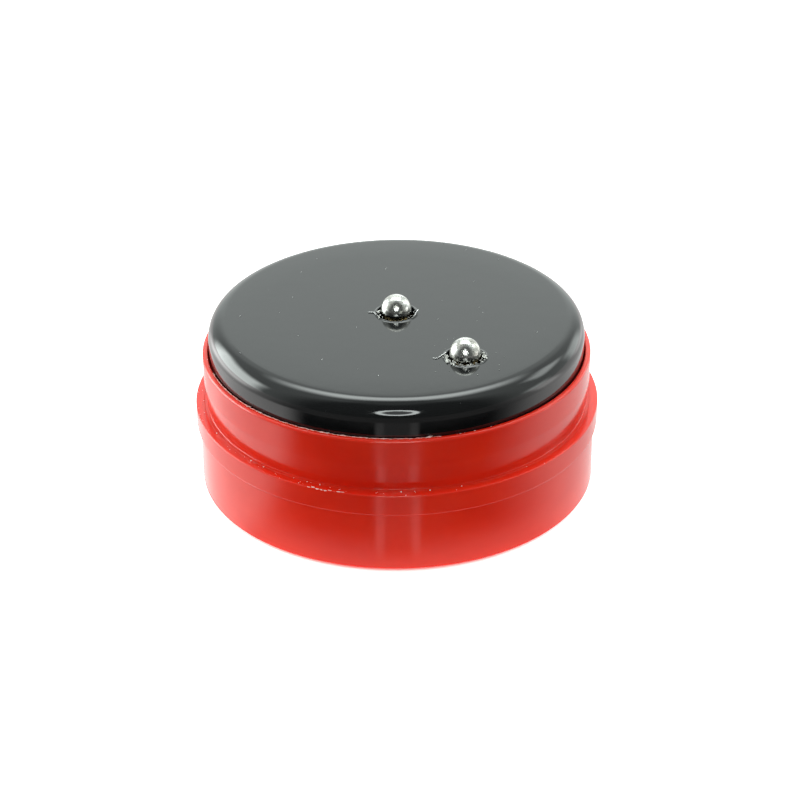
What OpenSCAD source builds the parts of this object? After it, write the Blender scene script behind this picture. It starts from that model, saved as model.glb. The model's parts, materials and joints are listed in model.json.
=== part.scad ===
// Round hand-held quiz buzzer: a red two-part housing with a black push button,
// and two sprung ball contacts in the button for a charging dock.
// Millimetres, +Z up. The origin is on the table under the centre of the button.

/* [Housing] */
// Diameter of the raised collar, the widest part
collar_d = 40; // [39.8:0.1:41]
// Diameter of the lower band, below the collar
band_d = 39.3; // [38.9:0.1:39.7]
// Diameter of the bezel ring at its lip
bezel_d = 38.3; // [38.2:0.05:38.6]
// Height of the lower band
band_h = 6.05; // [6:0.05:8]
// Height of the collar
collar_h = 2.2; // [1.8:0.1:3]
// Height of the bezel ring above the collar
bezel_h = 5.35; // [5.2:0.05:7]
// Thickness of the cup's floor
floor_t = 1.2; // [1:0.1:1.4]
// Thickness of the deck inside the bezel ring
deck_t = 1; // [0.8:0.1:1.2]
// Height of the rubber feet below the cup
foot_proud = 0.4; // [0.3:0.05:0.45]

/* [Button] */
// Diameter of the button
cap_d = 37; // [36.8:0.05:37.1]
// Height of the button's top above the lip
cap_rise = 3.45; // [3.2:0.05:5]
// Radius of the button's rounded shoulder
shoulder_r = 1.9; // [1:0.1:2.2]
// Thickness of the button's top
cap_t = 1.5; // [1.2:0.1:1.6]
// Travel of the button
press_travel = 1.2; // [0.8:0.1:1.2]

/* [Contacts] */
// Diameter of each contact ball
ball_d = 3; // [2.5:0.1:3.2]
// Height of each ball's centre above the button's top
ball_rise = 0.4; // [0:0.1:0.5]
// Distance of the outer contact from the button's centre
outer_contact_r = 11.3; // [10.5:0.1:11.5]
// Direction of the outer contact, in degrees from +X
outer_contact_deg = -55; // [-58:1:-50]
// Travel of each contact
pin_travel = 0.8; // [0.4:0.1:0.8]

/* [Electronics] */
// Diameter of the rechargeable cell
cell_d = 20; // [16:1:20]
// Thickness of the rechargeable cell
cell_t = 3.2; // [1.6:0.4:3.2]
// Thickness of the circuit board
board_t = 1; // [0.8:0.1:1]

/* [Hidden] */
$fn = 96;

// Gap between fixed parts that touch on the real object
gap = 0.02;
// How far a cutting solid runs past the face it cuts
cut = 1;

// Levels of the housing, from the table up
base_z = foot_proud;
floor_z = base_z + floor_t;
collar_z = base_z + band_h;
ledge_z = collar_z + collar_h;
lip_z = ledge_z + bezel_h;
socket_depth = 1.35;
socket_z = ledge_z - socket_depth;
board_z = ledge_z - 1.4;
board_top = board_z + board_t;
deck_z = board_top + 1.35;
deck_top = deck_z + deck_t;

// Radii of the housing
band_r = band_d / 2;
collar_r = collar_d / 2;
bezel_r = bezel_d / 2;
cup_wall = 1.36;
cup_bore_r = band_r - cup_wall;
plug_bore_r = cup_bore_r - 0.2;
cap_r = cap_d / 2;
cap_clearance = 0.1;
edge = 0.15;
foot_edge = 0.3;
flange = 0.33;

// Three fastening points, three snap legs and three springs, each set evenly spaced
screw_angles = [30, 150, 270];
leg_angles = [90, 210, 330];
spring_angles = [0, 120, 240];
screw_ring_r = 15.2;
spring_ring_r = 13;
foot_ring_r = 14.5;

// Screws
screw_r = 1;
screw_head_r = 1.75;
screw_head_t = 1;
screw_hole_r = 1.15;
screw_seat_z = floor_z + 0.6;
screw_end_z = deck_z + 0.6;
pillar_r = 2.9;
boss_r = 2.3;

// Feet and sound ports
foot_r = 3;
foot_recess = 0.6;
port_r = 0.9;
port_ring_r = 4.5;

// Sounder, on a rib in the floor and inside a ring that also steadies the cell
piezo_r = 10;
piezo_rib_r = 9;
gasket_z = floor_z + 0.4;
gasket_t = 0.3;
plate_z = gasket_z + gasket_t;
plate_t = 0.2;
ceramic_z = plate_z + plate_t;
ceramic_r = 7;
ceramic_t = 0.25;
nest_bore_r = piezo_r + 0.15;
nest_wall = 0.8;
nest_gap = 50;

// Cell, hung under the board on tape
tape_t = 0.55;
cell_top = board_z - tape_t;
cell_z = cell_top - cell_t;
tab_t = 0.15;
tab_w = 4;

// Board
board_r = cup_bore_r - 0.6;
notch_r = 14.8;
notch_w = 5.2;
pad_t = 0.05;
pad_r = 2.2;

// Button: skirt, legs, posts and the bosses that hold the contacts
skirt_z = deck_top + press_travel + 0.1;
skirt_t = 1.2;
cap_z = lip_z + cap_rise;
cap_under = cap_z - cap_t;
leg_r = 15.6;
leg_t = 1.2;
leg_w = 4;
hook = 0.7;
hook_h = 1;
hook_z = deck_z - gap;
slot_in_r = 15;
slot_out_r = 17;
slot_w = 4.5;
spring_post_r = 1.2;
spring_post_h = 2;
contact_boss_r = 3;

// Contact: ball, stem, flange, barrel
ball_r = ball_d / 2;
ball_z = cap_z + ball_rise;
mouth_r = ball_r + 0.45;
rim_h = 0.08;
rim_foot_r = mouth_r + 0.26;
mouth_z = ball_z - ball_r - pin_travel - 0.1;
boss_floor_t = 0.5;
barrel_r = 1.9;
barrel_z = skirt_z + boss_floor_t + gap;
barrel_floor_z = barrel_z + 0.3;
barrel_bore_r = 1.3;
barrel_roof_z = mouth_z - 0.5;
stem_r = 0.8;
stem_clearance = 0.05;
flange_r = 1.2;
flange_t = 0.4;
flange_z = barrel_roof_z - gap - flange_t;
tail_r = 0.35;
tail_end_z = skirt_z - 0.15;
tail_hole_r = 0.55;

// Centre post: the pusher plug closes it and presses the dome
post_end_z = skirt_z - 1;
pusher_t = 0.7;
pusher_z = post_end_z - pusher_t;
lead_slot_w = 1.2;

// Dome and pill
pill_r = 1.6;
pill_t = 0.3;
pill_z = board_top + pad_t + press_travel + gap;
dome_r = 5;
dome_top = pusher_z - 0.05;
deck_hole_r = dome_r + 0.8;

// Springs and wires
return_coil_r = 1.55;
return_wire_r = 0.15;
return_turns = 6;
spring_seat_r = 1.95;
spring_seat = 0.4;
contact_coil_r = 0.95;
contact_wire_r = 0.1;
contact_turns = 4;
lead_r = 0.2;
lead_hole_r = 1.6;

// ---- Shared shapes ----

// A ring of rectangular section
module ring(inner_r, outer_r, z, height) {
    translate([0, 0, z])
        difference() {
            cylinder(h = height, r = outer_r);
            translate([0, 0, -cut]) cylinder(h = height + 2 * cut, r = inner_r);
        }
}

// Copies of the children at each angle, at a distance from the axis
module around(angles, distance = 0) {
    for (angle = angles)
        rotate([0, 0, angle]) translate([distance, 0, 0]) children();
}

module at_outer_contact() {
    around([outer_contact_deg], outer_contact_r) children();
}

// A block that reaches from inner_r to outer_r along +X
module radial_block(inner_r, outer_r, width, z, height) {
    translate([inner_r, -width / 2, z]) cube([outer_r - inner_r, width, height]);
}

// A closed tube through rings of points, one ring for each step
module skin(rings) {
    sides = len(rings[0]);
    last = len(rings) - 1;
    sections = [for (i = [0 : last - 1], j = [0 : sides - 1])
        let (a = i * sides + j, b = i * sides + (j + 1) % sides)
        each [[a, a + sides, b + sides], [a, b + sides, b]]];
    start_cap = [[for (j = [0 : sides - 1]) j]];
    end_cap = [[for (j = [sides - 1 : -1 : 0]) last * sides + j]];
    polyhedron(points = [for (r = rings) each r], faces = concat(start_cap, sections, end_cap));
}

// How far a spring has risen after a number of turns: one closed turn at each end
function coil_rise(turn, turns, height, pitch) =
    turn < 1 ? turn * pitch
    : turn > turns - 1 ? height - (turns - turn) * pitch
    : pitch + (turn - 1) * (height - 2 * pitch) / (turns - 2);

// A compression spring of round wire that fills the space from z = 0 to z = length
module coil_spring(coil_r, wire_r, length, turns, steps, sides) {
    rings = [for (i = [0 : turns * steps])
        let (turn = i / steps,
             rise = wire_r + coil_rise(turn, turns, length - 2 * wire_r, 2.2 * wire_r))
        [for (j = [0 : sides - 1])
            let (a = 360 * j / sides, r = coil_r + wire_r * cos(a))
            [r * cos(360 * turn), r * sin(360 * turn), rise + wire_r * sin(a)]]];
    skin(rings);
}

// Point and direction on a cubic curve through four [distance, height] handles
function curve(h, t) =
    pow(1 - t, 3) * h[0] + 3 * t * pow(1 - t, 2) * h[1]
    + 3 * t * t * (1 - t) * h[2] + pow(t, 3) * h[3];
function curve_dir(h, t) =
    pow(1 - t, 2) * (h[1] - h[0]) + 2 * t * (1 - t) * (h[2] - h[1]) + t * t * (h[3] - h[2]);

// A wire in the upright plane through +X, along a cubic curve
module lead(handles, steps = 20, sides = 10) {
    rings = [for (i = [0 : steps])
        let (t = i / steps, p = curve(handles, t), dir = curve_dir(handles, t), d = dir / norm(dir))
        [for (j = [0 : sides - 1])
            let (a = -360 * j / sides, out = lead_r * cos(a), side = lead_r * sin(a))
            [p[0] - out * d[1], side, p[1] + out * d[0]]]];
    skin(rings);
}

// ---- Housing ----

// Outline of the cup wall: band, collar, and the socket that takes the bezel ring
module cup_outline() {
    polygon([[0, base_z], [band_r - foot_edge, base_z], [band_r, base_z + foot_edge],
             [band_r, collar_z], [collar_r - edge, collar_z], [collar_r, collar_z + edge],
             [collar_r, ledge_z - edge], [collar_r - edge, ledge_z],
             [bezel_r + gap, ledge_z], [bezel_r + gap, socket_z], [cup_bore_r, socket_z],
             [cup_bore_r, floor_z], [0, floor_z]]);
}

// Ring that steadies the sounder and the cell, open where leads and tabs pass
module nest() {
    difference() {
        ring(nest_bore_r, nest_bore_r + nest_wall, floor_z, cell_top - 0.5 - floor_z);
        for (angle = leg_angles, side = [-1, 0, 1])
            rotate([0, 0, angle + side * nest_gap / 4])
                radial_block(nest_bore_r - cut, nest_bore_r + nest_wall + cut, 6, floor_z + gap, cell_top);
    }
}

module base_cup() {
    color("crimson") difference() {
        union() {
            rotate_extrude() cup_outline();
            ring(piezo_rib_r, nest_bore_r + nest_wall, floor_z, gasket_z - floor_z);
            nest();
            around(screw_angles, screw_ring_r)
                translate([0, 0, floor_z]) cylinder(h = board_z - floor_z, r = pillar_r);
        }
        around(screw_angles, screw_ring_r) {
            translate([0, 0, base_z - cut]) cylinder(h = board_z + cut, r = screw_hole_r);
            translate([0, 0, base_z - cut])
                cylinder(h = screw_seat_z - base_z + cut, r = screw_head_r + 0.15);
        }
        around(leg_angles, foot_ring_r)
            translate([0, 0, base_z - cut]) cylinder(h = foot_recess + cut, r = foot_r + gap);
        translate([0, 0, base_z - cut]) cylinder(h = floor_t + 2 * cut, r = port_r);
        around([0 : 60 : 300], port_ring_r)
            translate([0, 0, base_z - cut]) cylinder(h = floor_t + 2 * cut, r = port_r);
    }
}

// Outline of the bezel ring: plug, flange level with the ledge, drafted wall, lip and deck
module bezel_outline() {
    polygon([[plug_bore_r, socket_z + gap], [bezel_r, socket_z + gap], [bezel_r, ledge_z],
             [bezel_r - flange, ledge_z], [bezel_r - 0.2, ledge_z + 0.8],
             [bezel_r - 0.03, ledge_z + 2.7], [bezel_r, lip_z - edge], [bezel_r - edge, lip_z],
             [cap_r + cap_clearance, lip_z], [cap_r + cap_clearance, deck_top],
             [deck_hole_r, deck_top], [deck_hole_r, deck_z], [plug_bore_r, deck_z]]);
}

module bezel_ring() {
    color("red") difference() {
        union() {
            rotate_extrude() bezel_outline();
            around(screw_angles, screw_ring_r)
                translate([0, 0, board_top + gap])
                    cylinder(h = deck_z - board_top, r = boss_r);
        }
        around(screw_angles, screw_ring_r)
            translate([0, 0, board_top - cut])
                cylinder(h = screw_end_z + 0.1 - board_top + cut, r = screw_r + gap);
        around(spring_angles, spring_ring_r)
            translate([0, 0, deck_top - spring_seat]) cylinder(h = spring_seat + cut, r = spring_seat_r);
        around(leg_angles) radial_block(slot_in_r, slot_out_r, slot_w, deck_z - cut, deck_t + 2 * cut);
        at_outer_contact() translate([0, 0, deck_z - cut]) cylinder(h = deck_t + 2 * cut, r = lead_hole_r);
    }
}

// One self-tapping screw, head down, with a cross recess
module screw() {
    difference() {
        union() {
            translate([0, 0, screw_seat_z - screw_head_t]) cylinder(h = screw_head_t - gap, r = screw_head_r);
            translate([0, 0, screw_seat_z - screw_head_t + 0.1])
                cylinder(h = screw_end_z - screw_seat_z + screw_head_t - 0.1, r = screw_r);
        }
        for (turn = [0, 90])
            rotate([0, 0, turn]) translate([-1, -0.2, screw_seat_z - screw_head_t - cut])
                cube([2, 0.4, 0.55 + cut]);
    }
}

module base_screws() {
    color("silver") around(screw_angles, screw_ring_r) screw();
}

module foot_pads() {
    color("dimgray") around(leg_angles, foot_ring_r)
        rotate_extrude() polygon([[0, 0], [foot_r - edge, 0], [foot_r, edge],
                                  [foot_r, base_z + foot_recess - gap], [0, base_z + foot_recess - gap]]);
}

// ---- Sounder ----

module piezo_gasket() {
    color("darkslategray") ring(piezo_rib_r, piezo_r, gasket_z + gap / 2, gasket_t - gap);
}

module piezo_plate() {
    color("gold") translate([0, 0, plate_z]) cylinder(h = plate_t, r = piezo_r);
}

module piezo_ceramic() {
    color("lightgray") translate([0, 0, ceramic_z]) cylinder(h = ceramic_t, r = ceramic_r);
}

// One wire starts on the ceramic and one on the brass, and both end under the board
module piezo_leads() {
    on_ceramic = ceramic_z + ceramic_t + lead_r + gap;
    on_plate = ceramic_z + lead_r + gap;
    lead_end = [12, board_z - gap];
    color("firebrick") rotate([0, 0, 75])
        lead([[5, on_ceramic], [11.5, on_ceramic - 0.12], [12.2, on_ceramic + 0.4], lead_end]);
    color("black") rotate([0, 0, 105])
        lead([[8.5, on_plate], [12, on_plate - 0.1], [12.3, on_plate + 0.5], lead_end]);
}

// ---- Cell ----

module rechargeable_cell() {
    rim = 0.3;
    color("silver") rotate_extrude()
        polygon([[0, cell_z], [cell_d / 2 - 1.2, cell_z], [cell_d / 2 - 1.2 + rim, cell_z + rim],
                 [cell_d / 2 - rim, cell_z + rim], [cell_d / 2, cell_z + 2 * rim],
                 [cell_d / 2, cell_top - rim], [cell_d / 2 - rim, cell_top], [0, cell_top]]);
}

// Strip under the cell that turns up beside it and ends at the board
module cell_tab_negative() {
    riser_r = cell_d / 2 + 0.3;
    low = cell_z - gap - tab_t;
    color("gainsboro") rotate([0, 0, leg_angles[2]]) {
        radial_block(-3, riser_r + tab_t, tab_w, low, tab_t);
        radial_block(riser_r, riser_r + tab_t, tab_w, low, board_z - gap - low);
    }
}

// Strip on top of the cell with a short upturned end
module cell_tab_positive() {
    riser_r = cell_d / 2 - 2;
    low = cell_top + gap;
    color("gainsboro") rotate([0, 0, leg_angles[1]]) {
        radial_block(-3, riser_r + tab_t, tab_w, low, tab_t);
        radial_block(riser_r, riser_r + tab_t, tab_w, low, board_z - gap - low);
    }
}

module cell_tape() {
    color("white") rotate([0, 0, leg_angles[1]])
        for (side = [-1, 1])
            translate([-5, side * 4.3 - 1.75, cell_top + gap]) cube([10, 3.5, tape_t - 2 * gap]);
}

// ---- Board ----

module circuit_board() {
    color("darkgreen") difference() {
        translate([0, 0, board_z]) cylinder(h = board_t, r = board_r);
        around(leg_angles) radial_block(notch_r, board_r + cut, notch_w, board_z - cut, board_t + 2 * cut);
        around(screw_angles, screw_ring_r)
            translate([0, 0, board_z - cut]) cylinder(h = board_t + 2 * cut, r = screw_hole_r);
    }
}

module switch_contacts() {
    color("gold") difference() {
        translate([0, 0, board_top]) cylinder(h = pad_t, r = pad_r);
        translate([-pad_r - cut, -0.2, board_top - cut]) cube([2 * (pad_r + cut), 0.4, pad_t + 2 * cut]);
    }
}

// Drop of resin over a bare chip
module sound_chip() {
    drop_r = 2.6;
    drop_h = 1;
    ball = (drop_r * drop_r + drop_h * drop_h) / (2 * drop_h);
    color("black") translate([-9, 3, board_top])
        intersection() {
            translate([0, 0, drop_h - ball]) sphere(ball);
            cylinder(h = drop_h + cut, r = ball);
        }
}

module charge_chip() {
    color("dimgray") translate([9, 3, board_top + gap]) {
        translate([-1.45, -0.8, 0.1]) cube([2.9, 1.6, 0.9]);
        for (x = [-0.95, 0, 0.95], y = [-1.4, 0.7])
            translate([x - 0.2, y, 0]) cube([0.4, 0.7, 0.3]);
    }
}

module boost_coil() {
    color("sienna") translate([-5, -8, board_top + gap]) {
        cylinder(h = 0.3, r = 2.1);
        cylinder(h = 1.1, r = 1.7);
        translate([0, 0, 0.85]) cylinder(h = 0.3, r = 2.1);
    }
}

module chip_components() {
    color("tan") around([45 : 27 : 126], 9)
        translate([-0.4, -0.8, board_top + gap]) cube([0.8, 1.6, 0.5]);
    color("tan") around([200, 275, 345], 12)
        translate([-0.4, -0.8, board_top + gap]) cube([0.8, 1.6, 0.5]);
}

// ---- Switch ----

module switch_dome() {
    foot_h = 0.3;
    crown_r = 2.6;
    skin_t = 0.4;
    low = board_top + gap;
    color("whitesmoke") rotate_extrude()
        polygon([[dome_r - 1.2, low], [dome_r, low], [dome_r, low + foot_h],
                 [dome_r - 0.8, low + foot_h], [crown_r + skin_t, dome_top - skin_t],
                 [crown_r, dome_top], [0, dome_top], [0, pill_z + pill_t + gap],
                 [pill_r + skin_t, pill_z + pill_t + gap], [crown_r - 0.25, pill_z + 0.1]]);
}

module dome_pill() {
    color("black") translate([0, 0, pill_z]) cylinder(h = pill_t, r = pill_r);
}

module dome_pusher() {
    color("ivory") {
        translate([0, 0, pusher_z]) cylinder(h = pusher_t - gap, r = contact_boss_r);
        translate([0, 0, pusher_z]) cylinder(h = pusher_t + 0.35, r = barrel_r - gap);
    }
}

module return_springs() {
    seat_z = deck_top - spring_seat + gap;
    color("silver") around(spring_angles, spring_ring_r)
        translate([0, 0, seat_z])
            coil_spring(return_coil_r, return_wire_r, cap_under - gap - seat_z, return_turns, 18, 8);
}

// ---- Button ----

// Half outline of the shell: flat top, round shoulder and skirt
module cap_outline() {
    difference() {
        union() {
            translate([0, skirt_z]) square([cap_r, cap_z - shoulder_r - skirt_z]);
            translate([0, skirt_z]) square([cap_r - shoulder_r, cap_z - skirt_z]);
            translate([cap_r - shoulder_r, cap_z - shoulder_r]) circle(shoulder_r);
        }
        translate([-cut, skirt_z - cut]) square([cap_r - skirt_t + cut, cap_under - skirt_z + cut]);
    }
}

// Leg with an outward hook that catches under the deck
module snap_leg() {
    radial_block(leg_r, leg_r + leg_t, leg_w, hook_z - hook_h, cap_under + 0.1 - hook_z + hook_h);
    rotate([90, 0, 0]) translate([0, 0, -leg_w / 2]) linear_extrude(leg_w)
        polygon([[leg_r, hook_z], [leg_r, hook_z - hook_h], [leg_r + leg_t, hook_z - hook_h],
                 [leg_r + leg_t + hook, hook_z - 0.3], [leg_r + leg_t + hook, hook_z]]);
}

// Low raised rim round the mouth of one contact
module mouth_rim() {
    translate([0, 0, cap_z]) cylinder(h = rim_h, r1 = rim_foot_r, r2 = mouth_r + 0.06);
    translate([0, 0, cap_z - 0.1]) cylinder(h = 0.1, r = rim_foot_r);
}

// Stepped hole for one contact: mouth, barrel bore and the hole for its tail
module contact_bore() {
    translate([0, 0, mouth_z]) cylinder(h = cap_z - mouth_z + cut, r = mouth_r);
    translate([0, 0, barrel_z - gap]) cylinder(h = mouth_z - barrel_z + gap + cut, r = barrel_r + gap);
    translate([0, 0, skirt_z - cut]) cylinder(h = barrel_z - skirt_z + cut + 0.1, r = tail_hole_r);
}

module button_cap() {
    color([0.1, 0.1, 0.1]) difference() {
        union() {
            rotate_extrude() cap_outline();
            around(leg_angles) snap_leg();
            around(spring_angles, spring_ring_r)
                translate([0, 0, cap_under - spring_post_h])
                    cylinder(h = spring_post_h + 0.1, r = spring_post_r);
            translate([0, 0, post_end_z]) cylinder(h = cap_under + 0.1 - post_end_z, r = contact_boss_r);
            at_outer_contact() translate([0, 0, skirt_z])
                cylinder(h = cap_under + 0.1 - skirt_z, r = contact_boss_r);
            mouth_rim();
            at_outer_contact() mouth_rim();
        }
        contact_bore();
        at_outer_contact() contact_bore();
        translate([0, 0, post_end_z - cut]) cylinder(h = skirt_z - post_end_z + cut, r = barrel_r + gap);
        rotate([0, 0, 90])
            radial_block(0, contact_boss_r + cut, lead_slot_w, post_end_z - cut, skirt_z - post_end_z + cut);
    }
}

// ---- Contacts ----

// Sleeve with a roof that keeps the pin in, and a solder tail
module barrel() {
    color("goldenrod") {
        difference() {
            translate([0, 0, barrel_z]) cylinder(h = mouth_z - barrel_z, r = barrel_r);
            translate([0, 0, barrel_floor_z])
                cylinder(h = barrel_roof_z - barrel_floor_z, r = barrel_bore_r);
            translate([0, 0, barrel_floor_z])
                cylinder(h = mouth_z - barrel_floor_z + cut, r = stem_r + stem_clearance);
        }
        translate([0, 0, tail_end_z]) cylinder(h = barrel_z + 0.1 - tail_end_z, r = tail_r);
    }
}

// Ball head on a stem, with the flange that the spring pushes
module contact_pin() {
    nub_r = 0.6;
    nub_h = 0.5;
    color("gainsboro") {
        translate([0, 0, ball_z]) sphere(ball_r);
        translate([0, 0, flange_z]) cylinder(h = ball_z - ball_r / 2 - flange_z, r = stem_r);
        translate([0, 0, flange_z]) cylinder(h = flange_t, r = flange_r);
        translate([0, 0, flange_z - nub_h]) cylinder(h = nub_h + 0.1, r = nub_r);
    }
}

module contact_spring() {
    length = flange_z - barrel_floor_z - 2 * gap;
    color("silver") translate([0, 0, barrel_floor_z + gap])
        coil_spring(contact_coil_r, contact_wire_r, length, contact_turns, 16, 6);
}

module centre_contact_barrel() {
    barrel();
}

module outer_contact_barrel() {
    at_outer_contact() barrel();
}

module centre_contact_spring() {
    contact_spring();
}

module outer_contact_spring() {
    at_outer_contact() contact_spring();
}

module centre_contact_pin() {
    contact_pin();
}

module outer_contact_pin() {
    at_outer_contact() contact_pin();
}

// The centre wire leaves through the post's slot; the outer one goes down through the deck
module contact_leads() {
    exit_z = tail_end_z - lead_r - 0.05;
    foot_z = board_top + gap;
    color("royalblue") rotate([0, 0, 90])
        lead([[0.3, exit_z], [4.4, exit_z + 0.5], [5.6, foot_z + 1.9], [5.6, foot_z]]);
    color("orange") at_outer_contact()
        lead([[0, tail_end_z - gap], [1.4, deck_top], [-1.2, deck_z], [0, foot_z]]);
}

base_cup();
bezel_ring();
base_screws();
foot_pads();
piezo_gasket();
piezo_plate();
piezo_ceramic();
piezo_leads();
rechargeable_cell();
cell_tab_negative();
cell_tab_positive();
cell_tape();
circuit_board();
switch_contacts();
sound_chip();
charge_chip();
boost_coil();
chip_components();
switch_dome();
return_springs();
button_cap();
dome_pill();
dome_pusher();
centre_contact_barrel();
outer_contact_barrel();
centre_contact_spring();
outer_contact_spring();
contact_leads();
centre_contact_pin();
outer_contact_pin();
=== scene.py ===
import json
import math
import random

import bmesh
import bpy
import mathutils
from mathutils import Matrix, Vector


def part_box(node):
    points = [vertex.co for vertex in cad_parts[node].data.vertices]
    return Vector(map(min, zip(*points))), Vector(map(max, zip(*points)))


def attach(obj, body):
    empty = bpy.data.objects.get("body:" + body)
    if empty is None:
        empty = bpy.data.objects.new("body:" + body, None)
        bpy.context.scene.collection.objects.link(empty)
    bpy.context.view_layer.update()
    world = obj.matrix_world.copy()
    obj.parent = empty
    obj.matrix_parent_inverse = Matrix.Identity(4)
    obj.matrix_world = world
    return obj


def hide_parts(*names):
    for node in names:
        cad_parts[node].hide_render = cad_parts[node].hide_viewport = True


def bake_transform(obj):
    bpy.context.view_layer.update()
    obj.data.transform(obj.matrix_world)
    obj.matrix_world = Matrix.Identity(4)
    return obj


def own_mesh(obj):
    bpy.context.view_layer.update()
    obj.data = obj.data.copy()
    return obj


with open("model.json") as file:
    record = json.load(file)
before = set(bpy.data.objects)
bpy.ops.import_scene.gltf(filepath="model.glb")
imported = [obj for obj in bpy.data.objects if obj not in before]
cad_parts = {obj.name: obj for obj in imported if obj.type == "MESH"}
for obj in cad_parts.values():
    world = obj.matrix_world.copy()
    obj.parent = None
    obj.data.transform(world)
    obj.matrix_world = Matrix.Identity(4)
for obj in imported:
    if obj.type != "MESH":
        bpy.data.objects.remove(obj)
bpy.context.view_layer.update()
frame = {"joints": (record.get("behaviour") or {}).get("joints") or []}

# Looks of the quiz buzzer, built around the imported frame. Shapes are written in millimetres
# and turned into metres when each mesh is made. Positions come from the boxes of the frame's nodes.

MM = 0.001
TURN = 2 * math.pi


# ---- Sizes read from the frame ----

class Box:
    """A node's box at rest, in millimetres."""

    def __init__(self, node):
        low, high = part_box(node)
        self.x0, self.y0, self.z0 = [c / MM for c in low]
        self.x1, self.y1, self.z1 = [c / MM for c in high]
        self.r = (self.x1 - self.x0) / 2
        self.middle = ((self.x0 + self.x1) / 2, (self.y0 + self.y1) / 2)


cup = Box("base_cup")
bezel = Box("bezel_ring")
cap = Box("button_cap")
board = Box("circuit_board")
dome = Box("switch_dome")
pill = Box("dome_pill")
pusher = Box("dome_pusher")
barrel = Box("centre_contact_barrel")
pin = Box("centre_contact_pin")
feet = Box("foot_pads")
screws = Box("base_screws")
springs = Box("return_springs")
cell = Box("rechargeable_cell")
negative_tab = Box("cell_tab_negative")
tape = Box("cell_tape")
gasket = Box("piezo_gasket")
plate = Box("piezo_plate")
ceramic = Box("piezo_ceramic")

TRAVEL = {joint["name"]: joint["range_m"][1] / MM for joint in frame["joints"]}
OUTER_CONTACT = Box("outer_contact_barrel").middle
OUTER_CONTACT_R = math.hypot(*OUTER_CONTACT)
OUTER_CONTACT_DEG = math.degrees(math.atan2(OUTER_CONTACT[1], OUTER_CONTACT[0]))
SCREW_ANGLES = (30, 150, 270)
LEG_ANGLES = (90, 210, 330)
SPRING_ANGLES = (0, 120, 240)
SCREW_RING = 15.2
SPRING_RING = 13.0
FOOT_RING = 14.5

band_r = cup.r - 0.35
collar_z = cup.z0 + 6.05
ledge_z = cup.z1
socket_z = bezel.z0
deck_z = ledge_z + 0.95
deck_top = deck_z + 1.0
lip_z = bezel.z1
cup_bore_r = band_r - 1.36
floor_z = cup.z0 + 1.2
skirt_z = deck_top + TRAVEL["button_press"] + 0.1
post_end_z = skirt_z - 1
cap_z = lip_z + 3.45
cap_under = cap_z - 1.5
ball_r = pin.r
ball_z = pin.z1 - ball_r
mouth_r = ball_r + 0.45
rim_foot = mouth_r + 0.26
mouth_z = ball_z - ball_r - TRAVEL["centre_contact_press"] - 0.1
barrel_r = barrel.r
barrel_seat = skirt_z + 0.5
part_z = board.z1 + 0.02


# ---- Mesh helpers ----

def polar(radius, degrees):
    angle = math.radians(degrees)
    return (radius * math.cos(angle), radius * math.sin(angle))


def finish_mesh(name, bm, sharp=35.0):
    """Turns a bmesh in millimetres into a smooth-shaded object in metres."""
    bmesh.ops.recalc_face_normals(bm, faces=bm.faces)
    bmesh.ops.scale(bm, vec=(MM, MM, MM), verts=bm.verts)
    return make_object(name, bm, sharp)


def swing(bm, degrees, verts=None):
    """Turns all points of a bmesh, or some of them, about the Z axis."""
    turned = Matrix.Rotation(math.radians(degrees), 3, "Z")
    bmesh.ops.rotate(bm, cent=(0, 0, 0), matrix=turned, verts=verts or bm.verts)


def skin(bm, rings, looped=False):
    """Closes a bmesh round rings of points, back to the first one or with a face at each end."""
    following = rings[1:] + rings[:1] if looped else rings[1:]
    for near, far in zip(rings, following):
        for j in range(len(near)):
            k = (j + 1) % len(near)
            corners = list(dict.fromkeys([near[j], near[k], far[k], far[j]]))
            if len(corners) > 2:
                bm.faces.new(corners)
    if not looped:
        bm.faces.new(rings[0][::-1])
        bm.faces.new(rings[-1])


def heading(points, i):
    """The direction of a path at one of its points."""
    return (points[min(i + 1, len(points) - 1)] - points[max(i - 1, 0)]).normalized()


def make_object(name, bm, sharp=35.0):
    mesh = bpy.data.meshes.new(name)
    bm.to_mesh(mesh)
    bm.free()
    obj = bpy.data.objects.new(name, mesh)
    bpy.context.scene.collection.objects.link(obj)
    smooth(obj, sharp)
    return obj


def smooth(obj, sharp=35.0):
    obj.data.shade_smooth()
    obj.data.set_sharp_from_angle(angle=math.radians(sharp))


def join(name, parts, sharp=35.0):
    """One object from several closed parts, which are removed."""
    bm = bmesh.new()
    for part in parts:
        bm.from_mesh(part.data)
        bpy.data.objects.remove(part)
    return make_object(name, bm, sharp)


def around(name, part, angles, sharp=35.0):
    """One object made of copies of a part, each turned about the Z axis."""
    bm = bmesh.new()
    for angle in angles:
        before = len(bm.verts)
        bm.from_mesh(part.data)
        bm.verts.ensure_lookup_table()
        swing(bm, angle, bm.verts[before:])
    bpy.data.objects.remove(part)
    return make_object(name, bm, sharp)


def rounded(corners, steps=6):
    """Outline points from (r, z, radius) corners. A corner with a radius becomes an arc."""
    points = []
    for i, (r, z, radius) in enumerate(corners):
        here = Vector((r, z))
        if radius == 0:
            points.append(here)
            continue
        before = (Vector(corners[i - 1][:2]) - here).normalized()
        after = (Vector(corners[(i + 1) % len(corners)][:2]) - here).normalized()
        half = before.angle(after) / 2
        centre = here + (before + after).normalized() * radius / math.sin(half)
        start = here + before * radius / math.tan(half) - centre
        end = here + after * radius / math.tan(half) - centre
        sweep = start.angle(end)
        for k in range(steps + 1):
            t = k / steps
            blend = start * math.sin((1 - t) * sweep) + end * math.sin(t * sweep)
            points.append(centre + blend / math.sin(sweep))
    return points


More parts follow.
